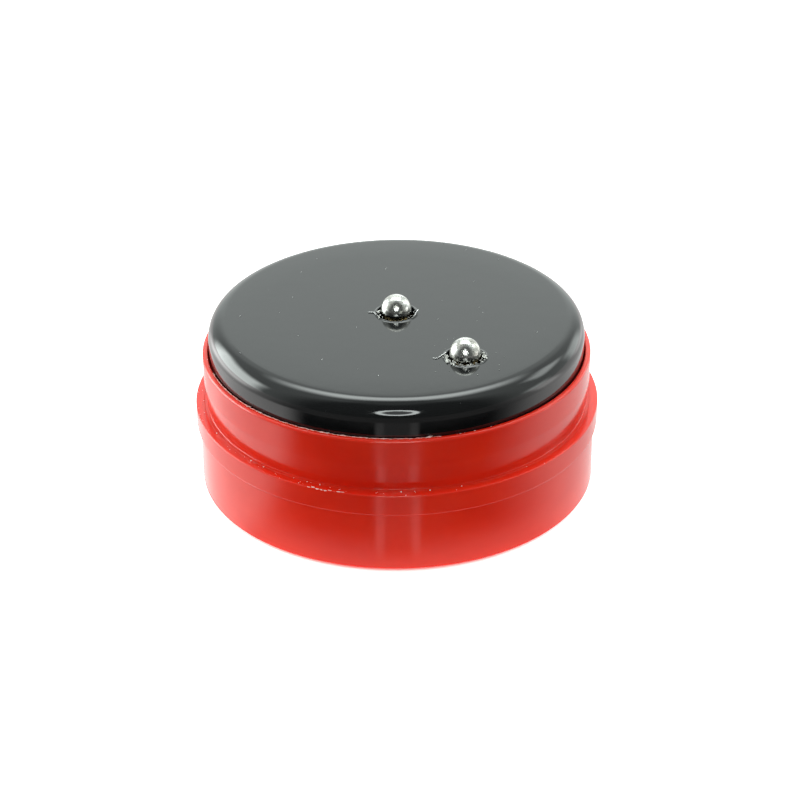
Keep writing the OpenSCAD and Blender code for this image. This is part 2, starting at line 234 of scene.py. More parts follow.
def crown(radius, height, level, start=0.0, steps=8):
    """Outline points of a round top, from an angle in radians above its level up to the axis."""
    points = []
    for i in range(steps):
        a = start + (math.pi / 2 - start) * i / steps
        points.append((radius * math.cos(a), level + height * math.sin(a)))
    return points + [(0, level + height)]


def lathe(name, outline, steps=192, at=(0, 0), sharp=35.0):
    """A solid of revolution about an upright axis, from a closed outline of (r, z) points."""
    bm = bmesh.new()
    rings = []
    for r, z in outline:
        if r < 1e-6:
            rings.append([bm.verts.new((at[0], at[1], z))] * steps)
            continue
        ring = []
        for j in range(steps):
            a = TURN * j / steps
            ring.append(bm.verts.new((at[0] + r * math.cos(a), at[1] + r * math.sin(a), z)))
        rings.append(ring)
    skin(bm, rings, looped=True)
    return finish_mesh(name, bm, sharp)


def rod(name, at, radius, low, high, steps=64):
    return lathe(name, [(0, low), (radius, low), (radius, high), (0, high)], steps, at)


def rods(name, radius, low, high, ring, angles, steps=64):
    """Upright rods at angles round a ring."""
    return [rod(name, polar(ring, angle), radius, low, high, steps) for angle in angles]


def hoop(name, inner, outer, low, high, at=(0, 0)):
    return lathe(name, [(inner, low), (outer, low), (outer, high), (inner, high)], 128, at)


def disc(name, radius, low, high, edge, steps=160):
    """A flat round plate with rounded edges."""
    outline = rounded([(0, low, 0), (radius, low, edge), (radius, high, edge), (0, high, 0)], 4)
    return lathe(name, outline, steps)


def block(name, low, high, turn=0.0, edge=0.0):
    """A box between two corners, with rounded edges, turned about the Z axis."""
    bm = bmesh.new()
    bmesh.ops.create_cube(bm, size=1)
    size = [high[i] - low[i] for i in range(3)]
    middle = [(high[i] + low[i]) / 2 for i in range(3)]
    bmesh.ops.scale(bm, vec=size, verts=bm.verts)
    bmesh.ops.translate(bm, vec=middle, verts=bm.verts)
    if edge:
        bmesh.ops.bevel(bm, geom=bm.edges, offset=edge, segments=3, profile=0.5, affect="EDGES")
    swing(bm, turn)
    return finish_mesh(name, bm)


def combine(target, tools, operation):
    """Adds tools to target ("UNION") or cuts them out of it ("DIFFERENCE")."""
    for tool in tools:
        modifier = target.modifiers.new("tool", "BOOLEAN")
        modifier.object = tool
        modifier.operation = operation
        modifier.solver = "EXACT"
    graph = bpy.context.evaluated_depsgraph_get()
    mesh = bpy.data.meshes.new_from_object(target.evaluated_get(graph))
    target.modifiers.clear()
    target.data = mesh
    for tool in tools:
        bpy.data.objects.remove(tool)
    smooth(target)
    return target


def even_normals(obj):
    """Keeps large flat faces flat-shaded where they meet a rounded edge."""
    modifier = obj.modifiers.new("even_normals", "WEIGHTED_NORMAL")
    modifier.keep_sharp = True
    modifier.weight = 100


def tube(name, path, radius, sides=16):
    """A round wire along a list of points."""
    points = [Vector(p) for p in path]
    bm = bmesh.new()
    rings = []
    across = None
    for i, point in enumerate(points):
        ahead = heading(points, i)
        if across is None:
            across = ahead.orthogonal().normalized()
        across = (across - ahead * across.dot(ahead)).normalized()
        other = ahead.cross(across)
        ring = []
        for j in range(sides):
            a = TURN * j / sides
            ring.append(bm.verts.new(point + radius * (across * math.cos(a) + other * math.sin(a))))
        rings.append(ring)
    skin(bm, rings)
    return finish_mesh(name, bm, 60)


def coil_path(at, radius, low, high, turns, wire_r, steps=36):
    """Points of a compression spring between two levels, with one closed turn at each end."""
    pitch = 2.2 * wire_r
    rise = high - low - 2 * wire_r
    path = []
    for i in range(turns * steps + 1):
        turn = i / steps
        if turn < 1:
            z = turn * pitch
        elif turn > turns - 1:
            z = rise - (turns - turn) * pitch
        else:
            z = pitch + (turn - 1) * (rise - 2 * pitch) / (turns - 2)
        x, y = polar(radius, 360 * turn)
        path.append((at[0] + x, at[1] + y, low + wire_r + z))
    return path


def bezier(handles, angle, start=0.0, steps=32):
    """Points in the upright plane at an angle, on a cubic curve through four (distance, height) handles."""
    path = []
    for i in range(steps + 1):
        t = i / steps
        weights = ((1 - t) ** 3, 3 * t * (1 - t) ** 2, 3 * t * t * (1 - t), t ** 3)
        distance, height = [sum(w * h[k] for w, h in zip(weights, handles)) for k in (0, 1)]
        path.append((*polar(start + distance, angle), height))
    return path


def bent_strip(name, path, thickness, width, angle, side=0.0):
    """Sheet metal bent along (distance, height) points, in the upright plane at an angle."""
    points = [Vector(p) for p in path]
    outlines = []
    for i, point in enumerate(points):
        ahead = heading(points, i)
        out = Vector((-ahead.y, ahead.x)) * thickness / 2
        outlines.append((point + out, point - out))
    loop = [pair[0] for pair in outlines] + [pair[1] for pair in reversed(outlines)]
    bm = bmesh.new()
    near = [bm.verts.new((p.x, side - width / 2, p.y)) for p in loop]
    far = [bm.verts.new((p.x, side + width / 2, p.y)) for p in loop]
    last = len(loop) - 1
    for i in range(len(points) - 1):
        bm.faces.new([near[i], near[i + 1], near[last - i - 1], near[last - i]])
        bm.faces.new([far[i], far[last - i], far[last - i - 1], far[i + 1]])
    for i in range(len(loop)):
        k = (i + 1) % len(loop)
        bm.faces.new([near[i], far[i], far[k], near[k]])
    swing(bm, angle)
    return finish_mesh(name, bm)


def trace(name, stops, width, low, high):
    """A flat track on the board through (radius, degrees) stops. It curves where only the angle changes."""
    points = []
    for (r0, a0), (r1, a1) in zip(stops, stops[1:]):
        count = max(1, int(abs(a1 - a0) / 4))
        for i in range(count):
            t = i / count
            points.append(Vector(polar(r0 + (r1 - r0) * t, a0 + (a1 - a0) * t)))
    points.append(Vector(polar(*stops[-1])))
    bm = bmesh.new()
    rows = []
    for i, point in enumerate(points):
        ahead = heading(points, i)
        side = Vector((-ahead.y, ahead.x)) * width / 2
        left, right = point + side, point - side
        corners = ((*left, low), (*right, low), (*right, high), (*left, high))
        rows.append([bm.verts.new(corner) for corner in corners])
    skin(bm, rows)
    return finish_mesh(name, bm)


def wobble(obj, amount, scale, lowest):
    """Pushes the points above a level about with smooth noise, all in millimetres."""
    for vert in obj.data.vertices:
        point = vert.co / MM
        rise = min(1.0, max(0.0, (point.z - lowest) / 0.2))
        offset = mathutils.noise.noise_vector(point / scale)
        vert.co += Vector((offset.x, offset.y, offset.z * 0.5)) * amount * rise * MM
    return obj


def chips(name, spots, rng):
    """Small irregular bits. Each spot is (centre, length, thickness, turn in degrees)."""
    bm = bmesh.new()
    for centre, length, thickness, turn in spots:
        before = len(bm.verts)
        bmesh.ops.create_icosphere(bm, subdivisions=1, radius=0.5)
        bm.verts.ensure_lookup_table()
        verts = bm.verts[before:]
        for vert in verts:
            vert.co *= rng.uniform(0.65, 1.25)
        bmesh.ops.scale(bm, vec=(length, thickness, thickness), verts=verts)
        swing(bm, turn, verts)
        bmesh.ops.translate(bm, vec=centre, verts=verts)
    return finish_mesh(name, bm, 20)


def crumbs(rng, at, count, turns, radii, sizes, level):
    """Spots for chips, spread over a sector (two angles in degrees) of a ring round a place."""
    spots = []
    for i in range(count):
        turn = rng.uniform(*turns)
        x, y = polar(rng.uniform(*radii), turn)
        size = rng.uniform(*sizes)
        centre = (at[0] + x, at[1] + y, level + 0.3 * size)
        spots.append((centre, size * rng.uniform(1, 2), size * 0.7, turn + rng.uniform(20, 160)))
    return spots


# ---- Material helpers ----

def add(tree, kind, inputs=None, **settings):
    """Adds a shader node. An input is set to a value, or linked when it is given a socket."""
    node = tree.nodes.new("ShaderNode" + kind)
    for key, value in settings.items():
        setattr(node, key, value)
    for key, value in (inputs or {}).items():
        if isinstance(value, bpy.types.NodeSocket):
            tree.links.new(value, node.inputs[key])
        else:
            node.inputs[key].default_value = value
    return node


def new_material(name, **principled):
    """A material with a Principled shader, and texture coordinates in millimetres."""
    material = bpy.data.materials.new(name)
    material.use_nodes = True
    tree = material.node_tree
    for key, value in principled.items():
        tree.nodes["Principled BSDF"].inputs[key.replace("_", " ")].default_value = value
    place = add(tree, "TexCoord").outputs["Object"]
    scaled = add(tree, "VectorMath", {0: place, "Scale": 1 / MM}, operation="SCALE")
    return material, scaled.outputs["Vector"]


def noise(place, scale, detail=3.0, stretch=(1, 1, 1)):
    """Cloudy noise whose features are about 1/scale millimetres across."""
    tree = place.id_data
    stretched = add(tree, "VectorMath", {0: place, 1: stretch}, operation="MULTIPLY")
    made = add(tree, "TexNoise", {"Vector": stretched.outputs["Vector"], "Scale": scale, "Detail": detail})
    return made.outputs["Fac"]


def remap(value, low, high, to_low=0.0, to_high=1.0, curve="LINEAR"):
    inputs = {"Value": value, "From Min": low, "From Max": high, "To Min": to_low, "To Max": to_high}
    return add(value.id_data, "MapRange", inputs, interpolation_type=curve).outputs["Result"]


def calc(operation, first, second=None):
    inputs = {0: first} if second is None else {0: first, 1: second}
    return add(first.id_data, "Math", inputs, operation=operation).outputs["Value"]


def mix_color(factor, first, second):
    return add(factor.id_data, "Mix", {0: factor, 6: first, 7: second}, data_type="RGBA").outputs[2]


def link(value, node, name):
    node.id_data.links.new(value, node.inputs[name])


def coat(material, color, roughness, heights):
    """Wires a material's colour, roughness and (height, distance in mm) layers of bump."""
    tree = material.node_tree
    shader = tree.nodes["Principled BSDF"]
    link(color, shader, "Base Color")
    link(roughness, shader, "Roughness")
    inputs = {}
    for height, distance in heights:
        inputs.update({"Height": height, "Distance": distance * MM})
        inputs["Normal"] = add(tree, "Bump", inputs).outputs["Normal"]
    link(inputs["Normal"], shader, "Normal")
    return material


# ---- Materials ----

def red_plastic():
    """Glossy moulded plastic, a little translucent, with flow clouds and a fine orange-peel skin."""
    material, place = new_material(
        "red_plastic", IOR=1.5, Subsurface_Weight=0.25, Subsurface_Scale=1.2 * MM,
        Subsurface_Radius=(1.0, 0.08, 0.05))
    clouds = noise(place, 0.12, 4, (1, 1, 2))
    color = mix_color(remap(clouds, 0.35, 0.65), (0.72, 0.020, 0.006, 1), (0.78, 0.026, 0.008, 1))
    smears = noise(place, 0.5, 5, (1, 1, 0.25))
    peel = noise(place, 1.4, 2)
    grain = noise(place, 14, 2)
    return coat(material, color, remap(smears, 0.3, 0.7, 0.12, 0.19), [(peel, 0.006), (grain, 0.0012)])


def black_plastic():
    """High-gloss black plastic with faint flow marks, hairline rubs and settled dust."""
    material, place = new_material("black_plastic", IOR=1.56)
    dust_cells = add(place.id_data, "TexVoronoi", {"Vector": place, "Scale": 1.3}, feature="F1")
    dust = remap(dust_cells.outputs["Distance"], 0.018, 0.03, 1, 0)
    rare = noise(place, 0.7, 2)
    dust_mask = calc("MULTIPLY", dust, remap(rare, 0.56, 0.6))
    color = mix_color(dust_mask, (0.005, 0.0055, 0.006, 1), (0.30, 0.31, 0.31, 1))
    flow = noise(place, 0.16, 4, (3.0, 0.6, 1))
    rubs = noise(place, 2.2, 6, (1, 7, 1))
    rough = calc("ADD", remap(flow, 0.3, 0.7, 0.0, 0.04), remap(rubs, 0.4, 0.75, 0.03, 0.06))
    peel = noise(place, 0.5, 2)
    return coat(material, color, rough, [(peel, 0.008), (rubs, 0.0006)])


def ball_steel():
    """Polished steel, scuffed in patches, with dull spots and fine scratches."""
    material, place = new_material("ball_steel", Metallic=1.0)
    patches = noise(place, 1.1, 5)
    specks = noise(place, 7.0, 5)
    worn = remap(patches, 0.42, 0.62)
    color = mix_color(worn, (0.52, 0.51, 0.47, 1), (0.86, 0.87, 0.84, 1))
    color = mix_color(remap(specks, 0.55, 0.68), color, (0.10, 0.10, 0.08, 1))
    return coat(material, color, remap(patches, 0.35, 0.65, 0.28, 0.11), [(patches, 0.05), (specks, 0.012)])


def metal(name, color, roughness, mottle=0.0, stretch=(1, 1, 1), scale=3.0, depth=0.002):
    """Bare or plated metal with a drawn or mottled skin."""
    material, place = new_material(name, Metallic=1.0)
    mottling = noise(place, scale, 6, stretch)
    dark = tuple(c * (1 - mottle) for c in color) + (1,)
    mixed = mix_color(remap(mottling, 0.35, 0.65), dark, tuple(color) + (1,))
    return coat(material, mixed, remap(mottling, 0.3, 0.7, roughness * 1.5, roughness * 0.7),
                [(mottling, depth)])


def matt(name, color, other, roughness, scale=4.0, depth=0.01, sheen=0.0, **settings):
    """Rubber, foam, resin, ceramic or moulded plastic with grain and a drift of colour."""
    material, place = new_material(name, Sheen_Weight=sheen, **settings)
    grain = noise(place, scale, 5)
    drift = noise(place, scale / 8, 3)
    mixed = mix_color(remap(drift, 0.35, 0.65), tuple(color) + (1,), tuple(other) + (1,))
    return coat(material, mixed, remap(grain, 0.3, 0.7, roughness * 0.85, roughness * 1.05),
                [(grain, depth)])


def board_mask():
    """Green solder mask over woven glass cloth."""
    material, place = new_material("board_mask", IOR=1.5)
    wave = {"Vector": place, "Scale": 1.2, "Distortion": 0.6}
    warp, weft = [add(place.id_data, "TexWave", wave, bands_direction=way).outputs["Fac"] for way in "XY"]
    weave = calc("MULTIPLY", warp, weft)
    color = mix_color(weave, (0.010, 0.085, 0.035, 1), (0.014, 0.125, 0.05, 1))
    cloudy = noise(place, 1.5, 4)
    return coat(material, color, remap(cloudy, 0.3, 0.7, 0.22, 0.38), [(weave, 0.004), (cloudy, 0.003)])


RED = red_plastic()
BLACK = black_plastic()
BALL_STEEL = ball_steel()
BRASS = metal("brass", (0.83, 0.62, 0.30), 0.22, mottle=0.2, stretch=(1, 1, 6), scale=2.0)
SCREW_STEEL = metal("screw_steel", (0.62, 0.62, 0.60), 0.3, mottle=0.2, scale=5, depth=0.004)
SPRING_STEEL = metal("spring_steel", (0.60, 0.60, 0.62), 0.25, mottle=0.15, scale=6)
CELL_STEEL = metal("cell_steel", (0.78, 0.77, 0.75), 0.22, mottle=0.12, stretch=(1, 8, 1), scale=1.5)
TAB_NICKEL = metal("tab_nickel", (0.72, 0.70, 0.65), 0.3, mottle=0.12, stretch=(8, 1, 1), scale=2)
SOLDER = metal("solder", (0.70, 0.70, 0.68), 0.35, mottle=0.25, scale=4, depth=0.01)
COPPER = metal("winding_copper", (0.72, 0.33, 0.16), 0.25, mottle=0.2, scale=5)
SILVERING = metal("silvering", (0.80, 0.78, 0.74), 0.45, mottle=0.15, scale=3, depth=0.004)
RUBBER = matt("foot_rubber", (0.03, 0.03, 0.03), (0.055, 0.053, 0.05), 0.75, sheen=0.2)
SILICONE = matt("silicone", (0.70, 0.70, 0.66), (0.78, 0.77, 0.72), 0.5, 2.0, 0.006,
                Subsurface_Weight=0.4, Subsurface_Scale=MM)
CARBON = matt("carbon_rubber", (0.02, 0.02, 0.02), (0.04, 0.04, 0.045), 0.6, 8.0, 0.006)
FOAM = matt("foam", (0.03, 0.035, 0.04), (0.06, 0.065, 0.07), 0.95, 9.0, 0.05, sheen=0.3)
TAPE = matt("foam_tape", (0.72, 0.72, 0.70), (0.80, 0.79, 0.76), 0.9, 7.0, 0.04)
PIEZO = matt("piezo_ceramic", (0.50, 0.44, 0.34), (0.58, 0.52, 0.42), 0.55, 5.0, 0.006)
CHIP = matt("chip_ceramic", (0.42, 0.30, 0.20), (0.55, 0.42, 0.28), 0.5, 6.0, 0.006)
RESIN = matt("black_resin", (0.010, 0.010, 0.011), (0.022, 0.021, 0.020), 0.35, 3.0, 0.012)
FERRITE = matt("ferrite", (0.035, 0.033, 0.032), (0.07, 0.065, 0.06), 0.7, 7.0, 0.02)
PUSHER = matt("pusher_plastic", (0.74, 0.70, 0.60), (0.80, 0.76, 0.66), 0.4, 3.0, 0.006,
              Subsurface_Weight=0.2, Subsurface_Scale=MM)
RED_SLEEVE = matt("red_sleeve", (0.55, 0.02, 0.015), (0.65, 0.03, 0.02), 0.4, 6.0, 0.004)
BLACK_SLEEVE = matt("black_sleeve", (0.012, 0.012, 0.013), (0.03, 0.03, 0.03), 0.4, 6.0, 0.004)
BLUE_SLEEVE = matt("blue_sleeve", (0.02, 0.08, 0.45), (0.03, 0.11, 0.55), 0.4, 6.0, 0.004)
ORANGE_SLEEVE = matt("orange_sleeve", (0.75, 0.22, 0.02), (0.85, 0.28, 0.03), 0.4, 6.0, 0.004)
CELL_SEAL = matt("cell_seal", (0.02, 0.05, 0.16), (0.03, 0.07, 0.20), 0.45, 5.0, 0.004)
BOARD = board_mask()
TRACK = matt("masked_track", (0.020, 0.20, 0.075), (0.026, 0.24, 0.09), 0.28, 6.0, 0.002)
GOLD = metal("pad_gold", (0.90, 0.68, 0.32), 0.25, mottle=0.12, scale=5)
RED_DUST = matt("red_flash", (0.80, 0.55, 0.50), (0.90, 0.78, 0.74), 0.6, 6.0, 0.01)
# Pale grey of the torn bits at the contacts: partly their own colour, partly painted highlight.
PALE_FLASH_AND_GLINT = matt("pale_flash_and_painted_glint", (0.16, 0.16, 0.15), (0.66, 0.67, 0.63), 0.3, 9.0, 0.01)
RED_THREAD = matt("red_thread", (0.78, 0.22, 0.18), (0.85, 0.52, 0.47), 0.5, 3.0, 0.01)
DUST = matt("dust", (0.55, 0.56, 0.55), (0.75, 0.76, 0.75), 0.8, 6.0, 0.01)


# ---- Housing shells ----

def dress(obj, material, slot, *nodes, body="housing"):
    """Gives a piece its material, its body and the nodes it stands for."""
    obj.data.materials.clear()
    obj.data.materials.append(material)
    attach(obj, body)
    if nodes:
        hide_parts(*nodes)
    return obj


def make_base_cup():
    outline = rounded([
        (0, cup.z0, 0), (band_r, cup.z0, 0.12), (band_r, collar_z, 0.1), (cup.r, collar_z, 0.2),
        (cup.r, ledge_z, 0.13), (bezel.r + 0.02, ledge_z, 0.02), (bezel.r + 0.02, socket_z - 0.02, 0),
        (cup_bore_r, socket_z - 0.02, 0.1), (cup_bore_r, floor_z, 0.3), (0, floor_z, 0)])
    shell = lathe("base_cup_shell", outline, 256)
    nest_top = cell.z1 - 0.5
    nest = hoop("nest", 10.15, 10.95, floor_z - 0.1, nest_top)
    gaps = [block("gap", (9, -5.2, floor_z - 0.3), (12, 5.2, cell.z1), a) for a in LEG_ANGLES]
    combine(nest, gaps, "DIFFERENCE")
    rib = hoop("rib", 9, 10.95, floor_z - 0.1, floor_z + 0.4)
    pillars = rods("pillar", 2.9, floor_z - 0.2, board.z0, SCREW_RING, SCREW_ANGLES)
    combine(shell, pillars + [nest, rib], "UNION")
    below = cup.z0 - 1
    cutters = [rod("port", (0, 0), 0.9, below, floor_z + 1, 48)]
    cutters += rods("port", 0.9, below, floor_z + 1, 4.5, range(0, 360, 60), 48)
    cutters += rods("shank", 1.15, below, board.z0 + 1, SCREW_RING, SCREW_ANGLES, 48)
    cutters += rods("head", 1.9, below, floor_z + 0.6, SCREW_RING, SCREW_ANGLES)
    cutters += rods("foot", 3.02, below, feet.z1 + 0.02, FOOT_RING, LEG_ANGLES)
    combine(shell, cutters, "DIFFERENCE")
    even_normals(shell)
    dress(shell, RED, "housing_red", "base_cup")


def make_bezel():
    bore = cap.r + 0.1
    outline = rounded([
        (cup_bore_r - 0.2, socket_z, 0), (bezel.r, socket_z, 0.1), (bezel.r, ledge_z, 0.01),
        (bezel.r - 0.33, ledge_z, 0.08), (bezel.r - 0.2, ledge_z + 0.8, 0.5),
        (bezel.r - 0.03, ledge_z + 2.7, 3.0), (bezel.r, lip_z, 0.26), (bore, lip_z, 0.12),
        (bore, deck_top, 0.1), (dome.r + 0.8, deck_top, 0.1), (dome.r + 0.8, deck_z, 0.1),
        (cup_bore_r - 0.2, deck_z, 0.2)])
    shell = lathe("bezel_ring_shell", outline, 256)
    combine(shell, rods("boss", 2.3, part_z, deck_z + 0.2, SCREW_RING, SCREW_ANGLES), "UNION")
    cutters = [rod("lead_hole", OUTER_CONTACT, 1.6, deck_z - 1, deck_top + 1, 48)]
    cutters += rods("pilot", 1.02, board.z1 - 1, screws.z1 + 0.1, SCREW_RING, SCREW_ANGLES, 48)
    cutters += rods("seat", 1.95, springs.z0 - 0.02, deck_top + 1, SPRING_RING, SPRING_ANGLES)
    cutters += [block("slot", (15, -2.25, deck_z - 1), (17, 2.25, deck_top + 1), a) for a in LEG_ANGLES]
    combine(shell, cutters, "DIFFERENCE")
    even_normals(shell)
    dress(shell, RED, "housing_red", "bezel_ring")


# ---- Button ----

def cap_outline():
    """Outer profile of the button: a flat top that falls away a little before the round shoulder."""
    shoulder = 1.88
    crown_start = 13.0
    crown_end = cap.r - shoulder
    slope = math.radians(1.5)
    drop = (crown_end - crown_start) * slope / 2
    outline = [(0, cap_under), (0, cap_z), (crown_start, cap_z)]
    for i in range(1, 8):
        t = i / 8
        outline.append((crown_start + (crown_end - crown_start) * t, cap_z - drop * t * t))
    centre_z = cap_z - drop - shoulder * math.cos(slope)
    for i in range(25):
        a = slope + (math.pi / 2 - slope) * i / 24
        outline.append((crown_end + shoulder * math.sin(a), centre_z + shoulder * math.cos(a)))
    inner = cap.r - 1.2
    return outline + rounded([(cap.r, cap_under, 0), (cap.r, skirt_z, 0.12), (inner, skirt_z, 0.12),
                              (inner, cap_under, 0.4), (0, cap_under, 0)])[1:-1]


def make_button():
    shell = lathe("button_shell", cap_outline(), 256)
    posts = [rod("post", (0, 0), 3.0, post_end_z, cap_under + 0.2, 96),
             rod("post", OUTER_CONTACT, 3.0, skirt_z, cap_under + 0.2, 96)]
    posts += rods("spring_post", 1.2, cap_under - 2, cap_under + 0.2, SPRING_RING, SPRING_ANGLES)
    posts += [make_leg(a) for a in LEG_ANGLES]
    combine(shell, posts, "UNION")
    cutters = [rod("plug_bore", (0, 0), barrel_r + 0.02, skirt_z - 3, skirt_z),
               block("lead_slot", (0, -0.6, skirt_z - 3), (5, 0.6, skirt_z), 90)]
    for at in ((0, 0), OUTER_CONTACT):
        bore = barrel_r + 0.02
        outline = rounded([
            (0, skirt_z - 3, 0), (0.55, skirt_z - 3, 0), (0.55, barrel_seat, 0), (bore, barrel_seat, 0),
            (bore, mouth_z, 0), (mouth_r, mouth_z, 0), (mouth_r, cap_z + 1, 0), (0, cap_z + 1, 0)])
        cutters.append(lathe("bore", outline, 96, at))
    combine(shell, cutters, "DIFFERENCE")
    even_normals(shell)
    dress(shell, BLACK, "button_black", "button_cap", body="button")


def make_leg(angle):
    """One snap leg with its outward hook."""
    hook_z = deck_z - 0.02
    profile = [(15.6, cap_under + 0.1), (15.6, hook_z - 1), (16.8, hook_z - 1), (17.5, hook_z - 0.3),
               (17.5, hook_z), (16.8, hook_z), (16.8, cap_under + 0.1)]
    bm = bmesh.new()
    sides = []
    for y in (-2, 2):
        sides.append([bm.verts.new((r, y, z)) for r, z in profile])
    skin(bm, sides)
    swing(bm, angle)
    return finish_mesh("leg", bm)


def make_rim(name, at, seed, rough):
    """The low raised rim round a contact's mouth, with an uneven crest."""
    rng = random.Random(seed)
    steps = 240
    teeth = [rng.gauss(0.0, rough) for i in range(steps)]
    bm = bmesh.new()
    rings = []
    for i in range(steps):
        degrees = 360 * i / steps
        tooth = (teeth[i] + teeth[i - 1] + teeth[(i + 1) % steps]) / 3
        crest = cap_z + 0.085 + tooth
        lean = rough * math.sin(math.radians(3 * degrees + 40 * seed))
        inner = mouth_r + lean
        section = [(mouth_r - 0.01, cap_z - 0.3), (inner, crest - 0.03), (inner + 0.03, crest),
                   (inner + 0.07, crest)]
        for k in range(1, 6):
            t = k / 5
            fall = (crest - cap_z) * (1 - t) ** 1.6
            section.append((inner + 0.07 + (0.19 - lean) * t, cap_z + fall))
        section += [(rim_foot + 0.02, cap_z - 0.02), (rim_foot, cap_z - 0.3)]
        rings.append([bm.verts.new((at[0] + x, at[1] + y, z))
                      for (x, y), z in ((polar(r, degrees), z) for r, z in section)])
    skin(bm, rings, looped=True)
    dress(finish_mesh(name, bm, 50), BLACK, "button_black", body="button")


WHISKERS = (
    ("centre_left_whisker", (0, 0), ((-1.95, -0.5, 0.08), (-2.2, 0.0, 0.08), (-2.75, 0.12, 0.04))),
    ("centre_right_whisker", (0, 0), ((1.8, -0.7, 0.08), (1.95, -0.1, 0.1), (2.15, 0.5, 0.05))),
    ("outer_left_whisker", OUTER_CONTACT, ((-2.6, -0.3, 0.04), (-2.2, 0.2, 0.06), (-1.8, 0.7, 0.08))),
    ("outer_far_whisker", OUTER_CONTACT, ((-3.05, -0.3, 0.03), (-2.85, -0.4, 0.05), (-2.65, -0.35, 0.03))))


def make_whisker(name, at, points):
    """A torn sliver that lies on the cap, along (x, y, lift) points from a contact's axis."""
    path = [(at[0] + x, at[1] + y, cap_z + lift) for x, y, lift in points]
    sliver = tube(name, path, 0.055, 6)
    dress(sliver, DUST, "button_black", body="button")


def make_mouth_chips():
    """Torn bits stuck round the mouths of the two contacts, most of them at the outer one. Their pale grey
    is partly their own colour and partly painted highlight.
    """
    rng = random.Random(31)
    clusters = (
        ((0, 0), 12, (165, 215), (1.62, 2.0), (0.1, 0.24), cap_z),
        ((0, 0), 9, (310, 375), (1.62, 2.0), (0.08, 0.2), cap_z),
        (OUTER_CONTACT, 34, (175, 245), (1.6, 2.2), (0.12, 0.3), cap_z),
        (OUTER_CONTACT, 20, (245, 300), (1.6, 1.9), (0.08, 0.2), cap_z - 0.05),
        (OUTER_CONTACT, 26, (300, 390), (1.6, 2.1), (0.1, 0.24), cap_z),
        (OUTER_CONTACT, 14, (0, 360), (2.4, 4.5), (0.04, 0.11), cap_z))
    spots = []
    for cluster in clusters:
        spots += crumbs(rng, *cluster)
    dress(chips("mouth_chips", spots, rng), PALE_FLASH_AND_GLINT, "button_black", body="button")


def make_cap_dust():
    rng = random.Random(8)
    spots = []
    for i in range(26):
        x, y = polar(17 * math.sqrt(rng.random()), rng.uniform(0, 360))
        clear = min(math.hypot(x, y), math.hypot(x - OUTER_CONTACT[0], y - OUTER_CONTACT[1]))
        if clear > mouth_r + 0.6:
            size = rng.uniform(0.04, 0.09)
            spots.append(((x, y, cap_z), size * rng.uniform(1, 2), size, rng.uniform(0, 180)))
    dress(chips("cap_dust", spots, rng), DUST, "button_black", body="button")


# ---- Sprung contacts ----

def make_pin(name, node, body, at):
    """Ball head, stem and flange of one sprung contact."""
    low = Box(node).z0
    flange_z = low + 0.5
    stem_r = 0.8
    outline = [(0, low), (0.6, low), (0.6, flange_z), (1.2, flange_z), (1.2, flange_z + 0.4),
               (stem_r, flange_z + 0.4)]
    outline += crown(ball_r, ball_r, ball_z, -math.acos(stem_r / ball_r), 48)
    dress(lathe(name, outline, 96, at), BALL_STEEL, "ball_steel", node, body=body)


def make_barrel(name, node, at):
    """Turned sleeve with a roof that keeps the pin in, a groove round its middle and a solder tail."""
    roof_z = mouth_z - 0.5
    low = skirt_z + 0.52
    middle = (low + mouth_z) / 2
    r = barrel_r
    outline = rounded([
        (0, barrel.z0, 0), (0.35, barrel.z0, 0.08), (0.35, low, 0), (r, low, 0.12), (r, middle - 0.3, 0.05),
        (r - 0.15, middle - 0.15, 0.05), (r - 0.15, middle + 0.15, 0.05), (r, middle + 0.3, 0.05),
        (r, mouth_z, 0.1), (0.88, mouth_z, 0.1), (0.88, roof_z, 0), (1.3, roof_z, 0.05),
        (1.3, low + 0.3, 0.1), (0, low + 0.3, 0)], 4)
    dress(lathe(name, outline, 96, at), BRASS, "brass", node, body="button")


def make_contact_spring(name, node, at):
    box = Box(node)
    coil = tube(name, coil_path(at, 0.95, box.z0, box.z1, 4, 0.1), 0.1)
    dress(coil, SPRING_STEEL, "spring_steel", node, body="button")
    flatten(coil)


def flatten(piece):
    """Gives a piece a mesh of its own."""
    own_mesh(piece)


def make_return_springs():
    path = coil_path((SPRING_RING, 0), 1.55, springs.z0, springs.z1, 6, 0.15)
    coils = around("return_spring_coils", tube("coil", path, 0.15), SPRING_ANGLES, 60)
    dress(coils, SPRING_STEEL, "spring_steel", "return_springs")
    flatten(coils)


def make_contact_leads():
    """Insulated wires from the contacts' tails to the board."""
    top = skirt_z - 0.4
    centre = bezier([[0.3, top], [4.4, top + 0.5], [5.6, part_z + 1.9], [5.6, part_z]], 90)
    outer = bezier([[0, skirt_z - 0.17], [1.4, deck_top], [-1.2, deck_z], [0, part_z]],
                   OUTER_CONTACT_DEG, OUTER_CONTACT_R)
    for name, path, material in (("contact_lead_centre", centre, BLUE_SLEEVE),
                                 ("contact_lead_outer", outer, ORANGE_SLEEVE)):
        wire = tube(name, path, 0.2)
        wire.data.materials.append(material)
        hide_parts("contact_leads")
        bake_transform(wire)


# ---- Switch ----

def make_dome():
    inner_z = pill.z1 + 0.02
    outline = rounded([
        (dome.r - 1.2, dome.z0, 0), (dome.r, dome.z0, 0.08), (dome.r, dome.z0 + 0.3, 0.1),
        (dome.r - 0.8, dome.z0 + 0.3, 0.25), (3.02, dome.z1 - 0.45, 0.3), (2.6, dome.z1, 0.2),
        (0, dome.z1, 0), (0, inner_z, 0), (2.0, inner_z, 0.1), (2.35, pill.z0 + 0.1, 0.1)])
    rubber = lathe("dome_skin", outline, 128)
    dress(rubber, SILICONE, "silicone", "switch_dome")
    flatten(rubber)


